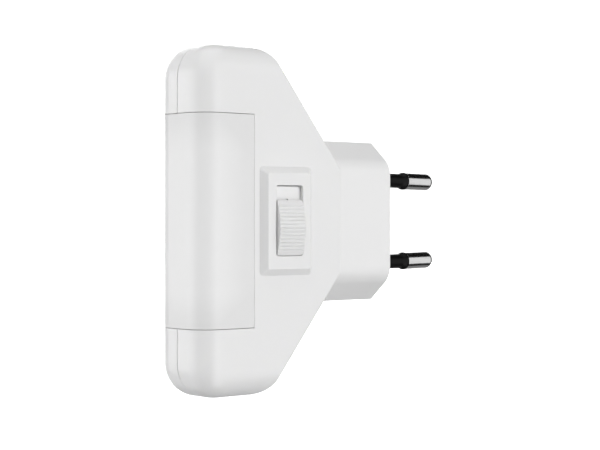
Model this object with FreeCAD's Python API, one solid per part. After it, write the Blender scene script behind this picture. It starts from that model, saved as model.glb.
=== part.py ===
import FreeCAD, Part
import math
import os

# Plug in night light: a flat white housing on a two pin mains plug, with a frosted light cover
# wrapped round its front edge and a slide switch on one side.
# Millimetres. +Z is up, +Y points into the wall socket and +X is the side with the switch.
# The origin is the middle of the plug's engagement face, between the pins.

Vec = FreeCAD.Vector

# Housing outline, seen from the side
HOUSING_HEIGHT = 73.8
HOUSING_THICKNESS = 16.4
HOUSING_DEPTH = 38.5
SHOULDER_DEPTH = 18.1
HEEL_HEIGHT = 22.9
NOSE_RADIUS = 7.3
SHOULDER_RADIUS = 5.8
HEEL_RADIUS = 2.0
EDGE_ROUNDING = 5.4
CREASE_RADIUS = 0.8
WALL = 1.6

# Lap joint between the two housing halves
SEAM_GAP = 0.14
LAP_DEPTH = 1.0

# Clearances between pieces
FIT = 0.1
SEAT = 0.04
SLIDE_FIT = 0.25
END_GAP = 0.1

# Light cover
COVER_HALF_HEIGHT = 22.35
COVER_REACH = 13.9
COVER_WALL = 1.5
COVER_RIB = 1.0
COVER_LIP = 1.2
COVER_GAP = 0.06

# Plug body and its flange
PLUG_REACH = 16.25
PLUG_WIDTH = 36.1
PLUG_THICKNESS = 13.0
PLUG_FLAT = 25.0
PLUG_SHOULDER_RADIUS = 5.0
PLUG_APEX_RADIUS = 0.5
PLUG_WALL = 2.0
PLUG_FACE_WALL = 8.0
PLUG_ROOT = 10.6
FLANGE_WIDTH = 39.0
FLANGE_THICKNESS = 12.6
FLANGE_DEPTH = 1.6
FLANGE_RIB = 1.4

# Plug pins
PIN_PITCH = 19.0
PIN_TILT = 1.1
PIN_LENGTH = 19.0
PIN_RADIUS = 2.0
PIN_BARE = 8.5
PIN_NOSE = 1.7
PIN_NECK_RADIUS = 1.2
PIN_TAIL = 5.0
PIN_TAIL_RADIUS = 1.5
SLEEVE_RADIUS = 1.65
SLEEVE_COLLAR = 0.5
SLEEVE_FLARE = 1.0

# Raised switch panel
PANEL_WIDTH = 14.3
PANEL_HEIGHT = 23.0
PANEL_RISE = 1.35
PANEL_TOP_WALL = 0.9
PANEL_CORNER = 1.0
PANEL_DEPTH = 22.45
SLOT_WIDTH = 7.4
SLOT_LENGTH = 15.0
SLOT_RAISE = 0.1
SLOT_CORNER = 0.6

# Slide switch knob
KNOB_WIDTH = 7.0
KNOB_LENGTH = 11.7
KNOB_CROWN = 1.15
KNOB_CORNER = 0.5
KNOB_SKIRT = 0.9
SKIRT_OVERLAP = 0.2
SKIRT_SIDE = 1.2
SKIRT_CHAMFER = 0.5
GROOVE_COUNT = 13
GROOVE_PITCH = 0.8
GROOVE_WIDTH = 0.42
GROOVE_DEPTH = 0.18
NOTCH_RADIUS = 0.35
NOTCH_DEPTH = 0.3

# Slide switch under the knob
SWITCH_WIDTH = 7.0
SWITCH_LENGTH = 13.0
SWITCH_HEIGHT = 5.0
SWITCH_SHEET = 0.4
SWITCH_BASE = 1.0
LEVER_WIDTH = 2.0
LEVER_LENGTH = 4.0
LEVER_FOOT = 2.0
LEVER_GRIP = 1.8
TERMINAL_PITCH = 2.6
TERMINAL_WIDTH = 0.8
TERMINAL_THICKNESS = 0.5
TERMINAL_HEAD = 0.3
CONTACT_SHEET = 0.2

# Driver board
BOARD_THICKNESS = 1.6
BOARD_WIDTH = 15.6
BOARD_LENGTH = 35.0
LEAD_RADIUS = 0.3
LEAD_TAIL = 1.0

# Parts on the driver board
FILM_CAP_LENGTH = 10.5
FILM_CAP_WIDTH = 8.0
FILM_CAP_THICKNESS = 5.6
CAN_CAP_RADIUS = 3.15
CAN_CAP_LENGTH = 11.0
RESISTOR_RADIUS = 1.2
RESISTOR_LENGTH = 6.3
RESISTOR_SPAN = 9.4
RESISTOR_PLACE = 9.4
RECTIFIER_LENGTH = 4.7
RECTIFIER_WIDTH = 3.8
RECTIFIER_HEIGHT = 2.5

# Lamp board and its light emitting diodes
LED_BOARD_HEIGHT = 52.0
LED_BOARD_WIDTH = 10.0
LED_BOARD_THICKNESS = 1.0
LED_BOARD_SETBACK = 8.0
LED_COUNT = 4
LED_PITCH = 11.0
LED_HEIGHT = 3.5
LED_WIDTH = 2.8
LED_THICKNESS = 0.8

# Insulated leads
WIRE_RADIUS = 0.7
WIRE_BEND = 1.5

# Screws that hold the halves together
SCREW_PLACE = 29.0
SCREW_SETBACK = 12.0
SCREW_RADIUS = 1.25
SCREW_HEAD_RADIUS = 2.3
SCREW_HEAD_HEIGHT = 1.5
SCREW_SINK = 1.0
SCREW_LENGTH = 11.0
BOSS_RADIUS = 3.3
BOSS_BORE_FLOOR = 1.0

# Ribs inside the halves
RIB = 1.2

# Places worked out from the sizes above
FRONT = -(HOUSING_DEPTH + PLUG_REACH)
HEEL = -PLUG_REACH
SIDE = HOUSING_THICKNESS / 2
TOP = HOUSING_HEIGHT / 2
INNER_SIDE = SIDE - WALL
COVER_BACK = FRONT + COVER_REACH
PANEL_Y = FRONT + PANEL_DEPTH
PANEL_FACE = SIDE + PANEL_RISE
SKIRT_TOP = PANEL_FACE - PANEL_TOP_WALL - FIT
SKIRT_BOTTOM = SKIRT_TOP - KNOB_SKIRT
TRAVEL = SLOT_LENGTH - KNOB_LENGTH - 2 * END_GAP
KNOB_Z = SLOT_RAISE - TRAVEL / 2
SKIRT_HALF = SLOT_LENGTH / 2 + SKIRT_OVERLAP + TRAVEL / 2
SWITCH_TOP = SKIRT_BOTTOM - SLIDE_FIT
BOARD_FACE = SWITCH_TOP - SWITCH_HEIGHT
BOARD_BACK = BOARD_FACE - BOARD_THICKNESS
PLUG_END = HEEL - PLUG_ROOT
BOARD_REAR = PLUG_END - FLANGE_RIB - 2 * FIT
BOARD_FRONT = BOARD_REAR - BOARD_WIDTH
LED_FACE = FRONT + LED_BOARD_SETBACK
LED_BACK = LED_FACE + LED_BOARD_THICKNESS
FLANGE_FACE = PLUG_END + FLANGE_DEPTH
BEHIND_COVER = COVER_BACK + COVER_LIP + FIT
BEYOND = 10.0


def box(x0, x1, y0, y1, z0, z1):
    """Block between two corners."""
    return Part.makeBox(x1 - x0, y1 - y0, z1 - z0, Vec(x0, y0, z0))


def rod(radius, start, end):
    """Round bar from one point to another."""
    axis = end - start
    return Part.makeCylinder(radius, axis.Length, start, axis)


def joined(shapes):
    """One solid from pieces that touch or cross."""
    return shapes[0].fuse(shapes[1:]).removeSplitter()


def corner_arc(before, corner, after, radius):
    """Start, middle and end of the arc that rounds one corner."""
    if radius <= 0:
        return corner, corner, corner
    back = (before - corner).normalize()
    ahead = (after - corner).normalize()
    half = back.getAngle(ahead) / 2
    reach = radius / math.tan(half)
    inward = (back + ahead).normalize()
    centre = corner + inward * (radius / math.sin(half))
    return corner + back * reach, centre - inward * radius, corner + ahead * reach


def rounded_wire(corners, radii):
    """Closed outline through the corners, each rounded to its own radius."""
    count = len(corners)
    arcs = [
        corner_arc(corners[k - 1], corners[k], corners[(k + 1) % count], radii[k])
        for k in range(count)
    ]
    edges = []
    for k in range(count):
        start, middle, end = arcs[k]
        if radii[k] > 0:
            edges.append(Part.Arc(start, middle, end).toShape())
        following = arcs[(k + 1) % count][0]
        if end.distanceToPoint(following) > 1e-6:
            edges.append(Part.LineSegment(end, following).toShape())
    return Part.Wire(edges)


def prism(corners, radii, direction):
    """Solid pushed out of a rounded outline."""
    return Part.Face(rounded_wire(corners, radii)).extrude(direction)


def side_prism(outline, radii, x0, x1):
    """Solid between two side planes, from an outline given as depth and height."""
    return prism([Vec(x0, y, z) for y, z in outline], radii, Vec(x1 - x0, 0, 0))


def panel_prism(width, length, corner, x0, x1, centre_z=SLOT_RAISE):
    """Rounded rectangle centred across the switch panel, between two side planes."""
    y0, y1 = PANEL_Y - width / 2, PANEL_Y + width / 2
    z0, z1 = centre_z - length / 2, centre_z + length / 2
    return side_prism([(y0, z0), (y1, z0), (y1, z1), (y0, z1)], [corner] * 4, x0, x1)


def bent_wire(points, radius, bend):
    """Round lead that runs from point to point with rounded turns."""
    edges = []
    start = points[0]
    for k in range(1, len(points) - 1):
        arc_start, middle, arc_end = corner_arc(points[k - 1], points[k], points[k + 1], bend)
        edges.append(Part.LineSegment(start, arc_start).toShape())
        edges.append(Part.Arc(arc_start, middle, arc_end).toShape())
        start = arc_end
    edges.append(Part.LineSegment(start, points[-1]).toShape())
    section = Part.Wire(Part.makeCircle(radius, points[0], points[1] - points[0]))
    return Part.Wire(edges).makePipeShell([section], True, True)


def inset_outline(outline, inset):
    """The same straight sided outline, moved inwards."""
    lines = []
    for k, (y0, z0) in enumerate(outline):
        y1, z1 = outline[(k + 1) % len(outline)]
        length = math.hypot(y1 - y0, z1 - z0)
        normal_y, normal_z = (z0 - z1) / length, (y1 - y0) / length
        lines.append((normal_y, normal_z, normal_y * y0 + normal_z * z0 + inset))
    moved = []
    for k, (a, b, c) in enumerate(lines):
        d, e, f = lines[k - 1]
        det = d * b - a * e
        moved.append(((f * b - c * e) / det, (d * c - a * f) / det))
    return moved


def housing_form(inset):
    """The housing's closed outer form, moved inwards by the inset."""
    half, top, back = SIDE - inset, TOP - inset, HEEL + BEYOND
    front = FRONT + inset
    nose = NOSE_RADIUS - inset
    slab = side_prism(
        [(front, -top), (back, -top), (back, top), (front, top)],
        [nose, 0, 0, nose], -half, half,
    )
    rims = [
        edge for edge in slab.Edges
        if edge.BoundBox.XLength < 1e-6 and edge.BoundBox.YMin < back - 1e-6
    ]
    slab = slab.makeFillet(EDGE_ROUNDING - inset, rims)
    ahead = FRONT - BEYOND
    shoulder = FRONT + SHOULDER_DEPTH
    sides = inset_outline(
        [(ahead, -TOP), (shoulder, -TOP), (HEEL, -HEEL_HEIGHT / 2),
         (HEEL, HEEL_HEIGHT / 2), (shoulder, TOP), (ahead, TOP)], inset,
    )
    heel = max(HEEL_RADIUS - inset, 0.1)
    wedge = side_prism(
        sides, [0, SHOULDER_RADIUS - inset, heel, heel, SHOULDER_RADIUS - inset, 0],
        -half, half,
    )
    if CREASE_RADIUS > inset:
        creases = [
            edge for edge in wedge.Edges
            if edge.BoundBox.XLength < 1e-6 and edge.BoundBox.YMin > FRONT - BEYOND / 2
            or edge.BoundBox.XLength < 1e-6 and edge.BoundBox.YLength > BEYOND
        ]
        wedge = wedge.makeFillet(CREASE_RADIUS - inset, creases)
    return slab.common(wedge)


def housing_layer(outer_inset, inner_inset):
    """Skin of the housing between two depths below its outer face."""
    return housing_form(outer_inset).cut(housing_form(inner_inset))


def window(grow, gap=0.0):
    """Block that takes in the light cover, grown beyond its edges less a gap at its ends."""
    half = COVER_HALF_HEIGHT + grow - gap
    return box(-BEYOND, BEYOND, FRONT - BEYOND, COVER_BACK + grow, -half, half)


def plug_section(inset, y0, y1):
    """Six sided plug section pushed from one depth to another."""
    half, flat = PLUG_THICKNESS / 2, PLUG_FLAT / 2
    apex = PLUG_WIDTH / 2
    outline = inset_outline(
        [(half, -flat), (half, flat), (0, apex), (-half, flat), (-half, -flat), (0, -apex)],
        inset,
    )
    shoulder = PLUG_SHOULDER_RADIUS - inset
    return prism(
        [Vec(x, y0, z) for x, z in outline],
        [shoulder, shoulder, PLUG_APEX_RADIUS, shoulder, shoulder, PLUG_APEX_RADIUS],
        Vec(0, y1 - y0, 0),
    )


def diffuser():
    """Frosted cover, with a rib round its edge and a lip caught behind the housing."""
    lip_face = WALL + FIT
    lip_back = lip_face + COVER_RIB
    edge = window(-SEAT, COVER_GAP)
    middle = window(-SEAT - COVER_RIB, COVER_GAP)
    rim = edge.cut(middle)
    ring = window(COVER_LIP).cut(middle)
    skin = housing_layer(0, COVER_WALL).common(edge)
    rib = housing_layer(0, lip_back).common(rim)
    lip = housing_layer(lip_face, lip_back).common(ring)
    return joined([skin, rib, lip])


def half_shell(side, hollow, tongue_ring):
    """One housing half with its lap joint: side is 1 with the switch, -1 without."""
    near, far = sorted((side * SEAM_GAP / 2, side * BEYOND))
    half = hollow.common(box(near, far, FRONT - BEYOND, HEEL + BEYOND, -TOP - BEYOND, TOP + BEYOND))
    if side < 0:
        return half
    tongue = tongue_ring.common(slice_x(-LAP_DEPTH, SEAM_GAP))
    return joined([half, tongue])


def slice_x(x0, x1):
    """Everything between two side planes."""
    return box(x0, x1, FRONT - BEYOND, HEEL + BEYOND, -TOP - BEYOND, TOP + BEYOND)


def screw_places():
    """Height of each screw."""
    return [-SCREW_PLACE, SCREW_PLACE]


def shell_ribs(side, inside):
    """Ribs and bosses of one half, from its side wall to the pieces that they hold."""
    wall = side * SIDE
    middle = side * SEAM_GAP / 2
    ribs = []
    for sign in (-1, 1):
        ribs.append(led_slot(sign, wall, middle))
        ribs.append(board_rest(sign, side, wall))
    ribs.append(flange_groove(wall, middle))
    for height in screw_places():
        centre_y = FRONT + SCREW_SETBACK
        ribs.append(rod(BOSS_RADIUS, Vec(middle, centre_y, height), Vec(wall, centre_y, height)))
    return [rib.common(inside) for rib in ribs]


def led_slot(sign, wall, middle):
    """Two ribs with a slot between them for one end of the lamp board."""
    end = sign * (LED_BOARD_HEIGHT / 2 + SEAT)
    inner = end - sign * 2 * RIB
    low, high = sorted((inner, end + sign * RIB))
    near, far = sorted((middle, wall))
    block = box(near, far, LED_FACE - RIB - SEAT, LED_BACK + RIB + SEAT, low, high)
    slot_low, slot_high = sorted((inner - sign, end))
    slot = box(near - 1, far + 1, LED_FACE - SEAT, LED_BACK + SEAT, slot_low, slot_high)
    return block.cut(slot)


def board_rest(sign, side, wall):
    """Post that holds one end of the driver board, against its face or its back."""
    end = sign * (BOARD_LENGTH / 2 + SEAT)
    face = BOARD_FACE + SEAT if side > 0 else BOARD_BACK - SEAT
    near, far = sorted((face, wall))
    low, high = sorted((end - sign * RIB, end + sign * RIB))
    post = box(near, far, BEHIND_COVER, BOARD_REAR - RIB, low, high)
    if side > 0:
        return post
    stop_low, stop_high = sorted((end, end + sign * RIB))
    stop = box(wall, BOARD_FACE - SEAT, BEHIND_COVER, BOARD_REAR - RIB, stop_low, stop_high)
    return joined([post, stop])


def flange_groove(wall, middle):
    """Two ribs with the plug's flange held between them."""
    near, far = sorted((middle, wall))
    front_face, back_face = PLUG_END - SEAT, FLANGE_FACE + SEAT
    block = box(near, far, front_face - FLANGE_RIB, back_face + FLANGE_RIB, -TOP, TOP)
    groove = box(-BEYOND, BEYOND, front_face, back_face,
                 -FLANGE_WIDTH / 2 - SEAT, FLANGE_WIDTH / 2 + SEAT)
    opening = plug_section(PLUG_WALL, front_face - BEYOND, back_face)
    return block.cut(groove).cut(opening)


def shell_cuts():
    """Openings that both halves share: the light window and the plug's way out."""
    plug_way = plug_section(-SEAT, PLUG_END - SEAT, HEEL + BEYOND)
    return [window(0), plug_way]


def panel_form():
    """Raised panel with bevelled sides, rooted in the side wall."""
    root = WALL / 4
    wires = []
    for height, grow in ((SIDE - root, root), (PANEL_FACE, -PANEL_RISE)):
        half_y, half_z = PANEL_WIDTH / 2 + grow, PANEL_HEIGHT / 2 + grow
        corners = [(-half_y, -half_z), (half_y, -half_z), (half_y, half_z), (-half_y, half_z)]
        radius = PANEL_CORNER if grow > 0 else PANEL_CORNER / 2
        wires.append(rounded_wire([Vec(height, PANEL_Y + y, z) for y, z in corners], [radius] * 4))
    return Part.makeLoft(wires, True, True)


def skirt_outline(half, bottom, top, clear):
    """Section of the knob's skirt, or of its pocket, as side place and height."""
    bevel = SKIRT_CHAMFER
    reach = half + clear
    return [
        (bottom, -reach), (top + clear - bevel, -reach), (top + clear, -reach + bevel),
        (top + clear, reach - bevel), (top + clear - bevel, reach), (bottom, reach),
    ]


def skirt_prism(half, width, bottom, top, clear, centre_z):
    """Skirt section pushed across the panel's width."""
    outline = skirt_outline(half, bottom, top, clear)
    corners = [Vec(x, PANEL_Y - width / 2, centre_z + z) for x, z in outline]
    return prism(corners, [0] * len(corners), Vec(0, width, 0))


def switch_side_shell(hollow, tongue_ring, inside):
    """Housing half with the raised switch panel, its slot and the skirt's pocket."""
    shell = half_shell(1, hollow, tongue_ring)
    shell = joined([shell, panel_form()] + shell_ribs(1, inside))
    pocket_half = SLOT_LENGTH / 2 + SKIRT_OVERLAP + TRAVEL
    pocket_width = SLOT_WIDTH + 2 * (SKIRT_SIDE + FIT)
    pocket = skirt_prism(pocket_half, pocket_width, INNER_SIDE - RIB, SKIRT_TOP, FIT, SLOT_RAISE)
    slot = panel_prism(SLOT_WIDTH, SLOT_LENGTH, SLOT_CORNER, SKIRT_TOP, PANEL_FACE + 1)
    cuts = shell_cuts() + [pocket, slot]
    for height in screw_places():
        cuts.append(rod(SCREW_RADIUS + SEAT, Vec(-1, FRONT + SCREW_SETBACK, height),
                        Vec(INNER_SIDE - BOSS_BORE_FLOOR, FRONT + SCREW_SETBACK, height)))
    return shell.cut(cuts)


def plain_side_shell(hollow, tongue_ring, inside):
    """Plain housing half, with the sunk screw holes."""
    shell = half_shell(-1, hollow, tongue_ring)
    shell = joined([shell] + shell_ribs(-1, inside))
    groove = housing_layer(WALL / 2, WALL + FIT).common(slice_x(-LAP_DEPTH - FIT, SEAM_GAP))
    cuts = shell_cuts() + [groove]
    seat = -SIDE + SCREW_SINK + SCREW_HEAD_HEIGHT
    for height in screw_places():
        centre_y = FRONT + SCREW_SETBACK
        cuts.append(rod(SCREW_RADIUS + FIT, Vec(-SIDE, centre_y, height), Vec(1, centre_y, height)))
        cuts.append(rod(SCREW_HEAD_RADIUS + SLIDE_FIT, Vec(-SIDE - 1, centre_y, height),
                        Vec(seat, centre_y, height)))
    return shell.cut(cuts)


def case_screws():
    """The two screws, as one group of separate solids."""
    seat = -SIDE + SCREW_SINK + SCREW_HEAD_HEIGHT
    screws = []
    for height in screw_places():
        centre_y = FRONT + SCREW_SETBACK
        head = rod(SCREW_HEAD_RADIUS, Vec(seat - SCREW_HEAD_HEIGHT, centre_y, height),
                   Vec(seat, centre_y, height))
        rim = [edge for edge in head.Edges
               if edge.BoundBox.XLength < 1e-6 and edge.BoundBox.XMin < seat - SCREW_HEAD_HEIGHT / 2]
        head = head.makeFillet(SCREW_HEAD_HEIGHT / 2, rim)
        tip = seat + SCREW_LENGTH
        shank = rod(SCREW_RADIUS, Vec(seat, centre_y, height), Vec(tip, centre_y, height))
        screw = joined([head, shank])
        arm, width = SCREW_HEAD_RADIUS * 0.6, SCREW_RADIUS / 4
        floor = seat - SCREW_HEAD_HEIGHT / 3
        for half_y, half_z in ((arm, width), (width, arm)):
            screw = screw.cut(box(seat - SCREW_HEAD_HEIGHT - 1, floor,
                                  centre_y - half_y, centre_y + half_y,
                                  height - half_z, height + half_z))
        screws.append(screw)
    return Part.makeCompound(screws)


def tilted(shape, height):
    """Lean a pin's piece towards the middle, about the engagement face."""
    leaning = shape.copy()
    turn = -PIN_TILT if height > 0 else PIN_TILT
    leaning.rotate(Vec(0, 0, height), Vec(1, 0, 0), turn)
    return leaning


def pin(height):
    """Turned pin: rounded bare end, waist under its sleeve, thick root and solder tail."""
    bare = PIN_LENGTH - PIN_BARE
    root = -PLUG_FACE_WALL
    tail = root - PIN_TAIL
    outline = [
        (0, tail), (PIN_TAIL_RADIUS, tail), (PIN_TAIL_RADIUS, root), (PIN_RADIUS, root),
        (PIN_RADIUS, -WALL), (PIN_NECK_RADIUS, -WALL), (PIN_NECK_RADIUS, bare),
        (PIN_RADIUS, bare), (PIN_RADIUS, PIN_LENGTH), (0, PIN_LENGTH),
    ]
    radii = [0, 0, 0, 0, 0, 0, 0, 0, PIN_NOSE, 0]
    turned = Part.Face(rounded_wire([Vec(0, y, height + r) for r, y in outline], radii))
    turned = turned.revolve(Vec(0, 0, height), Vec(0, 1, 0), 360)
    slot = box(-TERMINAL_THICKNESS / 2, TERMINAL_THICKNESS / 2, tail - 1, tail + PIN_TAIL / 3,
               height - BEYOND / 2, height + BEYOND / 2)
    return tilted(turned.cut(slot), height)


def pin_sleeve(height):
    """Insulating sleeve round the pin's waist, flared to a collar at the bare end."""
    bare = PIN_LENGTH - PIN_BARE
    outline = [
        (PIN_NECK_RADIUS, -WALL), (SLEEVE_RADIUS, -WALL),
        (SLEEVE_RADIUS, bare - SLEEVE_COLLAR - SLEEVE_FLARE),
        (PIN_RADIUS, bare - SLEEVE_COLLAR), (PIN_RADIUS, bare), (PIN_NECK_RADIUS, bare),
    ]
    section = Part.Face(rounded_wire([Vec(0, y, height + r) for r, y in outline], [0] * 6))
    return tilted(section.revolve(Vec(0, 0, height), Vec(0, 1, 0), 360), height)


def plug_body():
    """Hollow plug moulding with its flange, gripping the roots of both pins."""
    body = plug_section(0, PLUG_END, 0)
    flange = box(-FLANGE_THICKNESS / 2, FLANGE_THICKNESS / 2, PLUG_END, FLANGE_FACE,
                 -FLANGE_WIDTH / 2, FLANGE_WIDTH / 2)
    body = joined([body, flange])
    hollow = plug_section(PLUG_WALL, PLUG_END - 1, -PLUG_FACE_WALL)
    cuts = [hollow]
    for height in (-PIN_PITCH / 2, PIN_PITCH / 2):
        root = rod(PIN_RADIUS, Vec(0, -PLUG_FACE_WALL - 1, height), Vec(0, -WALL, height))
        mouth = rod(SLEEVE_RADIUS + FIT, Vec(0, -WALL, height), Vec(0, 1, height))
        cuts.append(tilted(root, height))
        cuts.append(tilted(mouth, height))
    return body.cut(cuts)


def knob_outline():
    """Crowned and grooved section of the knob, from its skirt up."""
    half = KNOB_LENGTH / 2
    radius = (half ** 2 + KNOB_CROWN ** 2) / (2 * KNOB_CROWN)
    centre_x = PANEL_FACE + KNOB_CROWN - radius

    def crown(offset, depth=0.0):
        angle = offset / radius
        reach = radius - depth
        return Vec(centre_x + reach * math.cos(angle), 0, KNOB_Z + reach * math.sin(angle))

    edges = []
    base = [Vec(SKIRT_BOTTOM, 0, KNOB_Z - half), Vec(SKIRT_BOTTOM, 0, KNOB_Z + half)]
    start = Vec(PANEL_FACE, 0, KNOB_Z - half)
    edges.append(Part.LineSegment(base[0], start).toShape())
    for k in range(GROOVE_COUNT):
        place = (k - (GROOVE_COUNT - 1) / 2) * GROOVE_PITCH
        near, far = place - GROOVE_WIDTH / 2, place + GROOVE_WIDTH / 2
        before = place - GROOVE_PITCH / 2 - GROOVE_WIDTH / 4
        edges.append(Part.Arc(start, crown((before + near) / 2), crown(near)).toShape())
        floor = crown(place, GROOVE_DEPTH)
        edges.append(Part.LineSegment(crown(near), floor).toShape())
        edges.append(Part.LineSegment(floor, crown(far)).toShape())
        start = crown(far)
    end = Vec(PANEL_FACE, 0, KNOB_Z + half)
    last = (GROOVE_COUNT - 1) / 2 * GROOVE_PITCH + GROOVE_WIDTH
    edges.append(Part.Arc(start, crown(last), end).toShape())
    edges.append(Part.LineSegment(end, base[1]).toShape())
    edges.append(Part.LineSegment(base[1], base[0]).toShape())
    return Part.Wire(edges)


def switch_knob():
    """Sliding knob: a crowned grip with cross grooves on a flat skirt, socketed for the lever."""
    grip = Part.Face(knob_outline())
    grip.translate(Vec(0, PANEL_Y - KNOB_WIDTH / 2, 0))
    grip = grip.extrude(Vec(0, KNOB_WIDTH, 0))
    outline = panel_prism(KNOB_WIDTH, KNOB_LENGTH, KNOB_CORNER, SKIRT_BOTTOM,
                          PANEL_FACE + KNOB_CROWN + 1, KNOB_Z)
    grip = grip.common(outline)
    skirt = skirt_prism(SKIRT_HALF, SLOT_WIDTH + 2 * SKIRT_SIDE, SKIRT_BOTTOM, SKIRT_TOP,
                        0.0, KNOB_Z)
    socket = panel_prism(LEVER_WIDTH + 2 * FIT, LEVER_LENGTH + 2 * FIT, 0,
                         SKIRT_BOTTOM - 1, SKIRT_BOTTOM + LEVER_GRIP + FIT, KNOB_Z)
    end = KNOB_Z + KNOB_LENGTH / 2
    notch = rod(NOTCH_RADIUS, Vec(SKIRT_TOP - NOTCH_DEPTH, PANEL_Y, end),
                Vec(SKIRT_TOP + NOTCH_DEPTH, PANEL_Y, end))
    return joined([grip, skirt]).cut([socket, notch])


def switch_can():
    """Folded steel cover of the slide switch, slotted for the lever."""
    sheet = SWITCH_SHEET
    outer = panel_prism(SWITCH_WIDTH, SWITCH_LENGTH, sheet, BOARD_FACE, SWITCH_TOP)
    inner = panel_prism(SWITCH_WIDTH - 2 * sheet, SWITCH_LENGTH - 2 * sheet, 0,
                        BOARD_FACE - 1, SWITCH_TOP - sheet)
    slot = panel_prism(LEVER_WIDTH + 2 * FIT, LEVER_LENGTH + TRAVEL + 4 * FIT, 0,
                       SWITCH_TOP - 1, SWITCH_TOP + 1)
    return outer.cut([inner, slot])


def terminal_places():
    """Height of each switch terminal."""
    return [SLOT_RAISE - TERMINAL_PITCH, SLOT_RAISE, SLOT_RAISE + TERMINAL_PITCH]


def switch_base():
    """Insulating base of the slide switch, pierced for its terminals."""
    inset = 2 * (SWITCH_SHEET + SEAT)
    base = panel_prism(SWITCH_WIDTH - inset, SWITCH_LENGTH - inset, 0,
                       BOARD_FACE, BOARD_FACE + SWITCH_BASE)
    holes = [
        box(BOARD_FACE - 1, BOARD_FACE + SWITCH_BASE + 1,
            PANEL_Y - TERMINAL_THICKNESS / 2 - SEAT, PANEL_Y + TERMINAL_THICKNESS / 2 + SEAT,
            z - TERMINAL_WIDTH / 2 - SEAT, z + TERMINAL_WIDTH / 2 + SEAT)
        for z in terminal_places()
    ]
    return base.cut(holes)


def switch_terminals():
    """Three riveted terminals, as one group of separate solids."""
    top = BOARD_FACE + SWITCH_BASE
    pieces = []
    for z in terminal_places():
        leg = box(BOARD_BACK - LEAD_TAIL, top,
                  PANEL_Y - TERMINAL_THICKNESS / 2, PANEL_Y + TERMINAL_THICKNESS / 2,
                  z - TERMINAL_WIDTH / 2, z + TERMINAL_WIDTH / 2)
        head = rod(TERMINAL_WIDTH, Vec(top, PANEL_Y, z), Vec(top + TERMINAL_HEAD, PANEL_Y, z))
        pieces.append(joined([leg, head]))
    return Part.makeCompound(pieces)


def switch_lever():
    """Sliding lever: a foot under the steel cover and a stem up into the knob."""
    foot_top = SWITCH_TOP - SWITCH_SHEET - FIT
    foot_width = SWITCH_WIDTH - 2 * (SWITCH_SHEET + FIT)
    foot_length = SWITCH_LENGTH - 2 * (SWITCH_SHEET + FIT) - TRAVEL - 2 * FIT
    foot = panel_prism(foot_width, foot_length, FIT, foot_top - LEVER_FOOT, foot_top, KNOB_Z)
    stem = panel_prism(LEVER_WIDTH, LEVER_LENGTH, 0, foot_top, SKIRT_BOTTOM + LEVER_GRIP, KNOB_Z)
    return joined([foot, stem])


def switch_contact():
    """Springy bridging contact under the lever, one dome on each of two terminals."""
    top = SWITCH_TOP - SWITCH_SHEET - FIT - LEVER_FOOT
    low = BOARD_FACE + SWITCH_BASE + TERMINAL_HEAD + FIT / 2
    sheet = CONTACT_SHEET
    half = TERMINAL_PITCH / 2
    outline = [
        (top, -half / 2), (top, half / 2), (low + sheet, half), (top - sheet, half * 2),
        (top - sheet * 2, half * 2), (low, half), (top - sheet, half / 2),
        (top - sheet, -half / 2), (low, -half), (top - sheet * 2, -half * 2),
        (top - sheet, -half * 2), (low + sheet, -half),
    ]
    corners = [Vec(x, PANEL_Y - TERMINAL_WIDTH, KNOB_Z + z) for x, z in outline]
    return prism(corners, [0] * len(corners), Vec(0, 2 * TERMINAL_WIDTH, 0))


def lead_line():
    """Height at which both capacitors' leads enter the board, clear of its posts."""
    return BOARD_LENGTH / 2 - RIB - 2 * FIT - 3 * LEAD_RADIUS


def film_cap_leads():
    """Depth place of each lead of the film capacitor."""
    middle = BEHIND_COVER + FILM_CAP_WIDTH / 2
    return middle - FILM_CAP_WIDTH / 4, middle + FILM_CAP_WIDTH / 4


def dropper_capacitor():
    """Box film capacitor lying on the back of the board, its leads folded into it."""
    high = lead_line() - RIB
    top = BOARD_BACK - SEAT
    body = box(top - FILM_CAP_THICKNESS, top, BEHIND_COVER, BEHIND_COVER + FILM_CAP_WIDTH,
               high - FILM_CAP_LENGTH, high)
    body = body.makeFillet(RIB / 2, body.Edges)
    middle = top - FILM_CAP_THICKNESS / 2
    for y in film_cap_leads():
        points = [Vec(middle, y, high - 1), Vec(middle, y, lead_line()),
                  Vec(BOARD_FACE + LEAD_TAIL, y, lead_line())]
        body = body.fuse(bent_wire(points, LEAD_RADIUS, RIB / 2))
    return body.removeSplitter()


def can_cap_leads():
    """Depth place of each lead of the can capacitor."""
    middle = BEHIND_COVER + CAN_CAP_RADIUS
    return middle - CAN_CAP_RADIUS * 0.4, middle + CAN_CAP_RADIUS * 0.4


def smoothing_capacitor():
    """Can capacitor lying on the back of the board, with its crimped waist."""
    centre_x = BOARD_BACK - SEAT - CAN_CAP_RADIUS
    centre_y = BEHIND_COVER + CAN_CAP_RADIUS
    base = RIB - lead_line()
    top = base + CAN_CAP_LENGTH
    waist = CAN_CAP_RADIUS / 10
    crimp = base + CAN_CAP_RADIUS / 2
    outline = [
        (0, top), (CAN_CAP_RADIUS, top), (CAN_CAP_RADIUS, crimp + 2 * waist),
        (CAN_CAP_RADIUS - waist, crimp), (CAN_CAP_RADIUS, crimp - 2 * waist),
        (CAN_CAP_RADIUS, base), (0, base),
    ]
    radii = [0, 2 * waist, 0, waist, 0, waist, 0]
    corners = [Vec(centre_x, centre_y + r, z) for r, z in outline]
    body = Part.Face(rounded_wire(corners, radii))
    body = body.revolve(Vec(centre_x, centre_y, 0), Vec(0, 0, 1), 360)
    for y in can_cap_leads():
        points = [Vec(centre_x, y, base + 1), Vec(centre_x, y, -lead_line()),
                  Vec(BOARD_FACE + LEAD_TAIL, y, -lead_line())]
        body = body.fuse(bent_wire(points, LEAD_RADIUS, RIB / 2))
    return body.removeSplitter()


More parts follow.
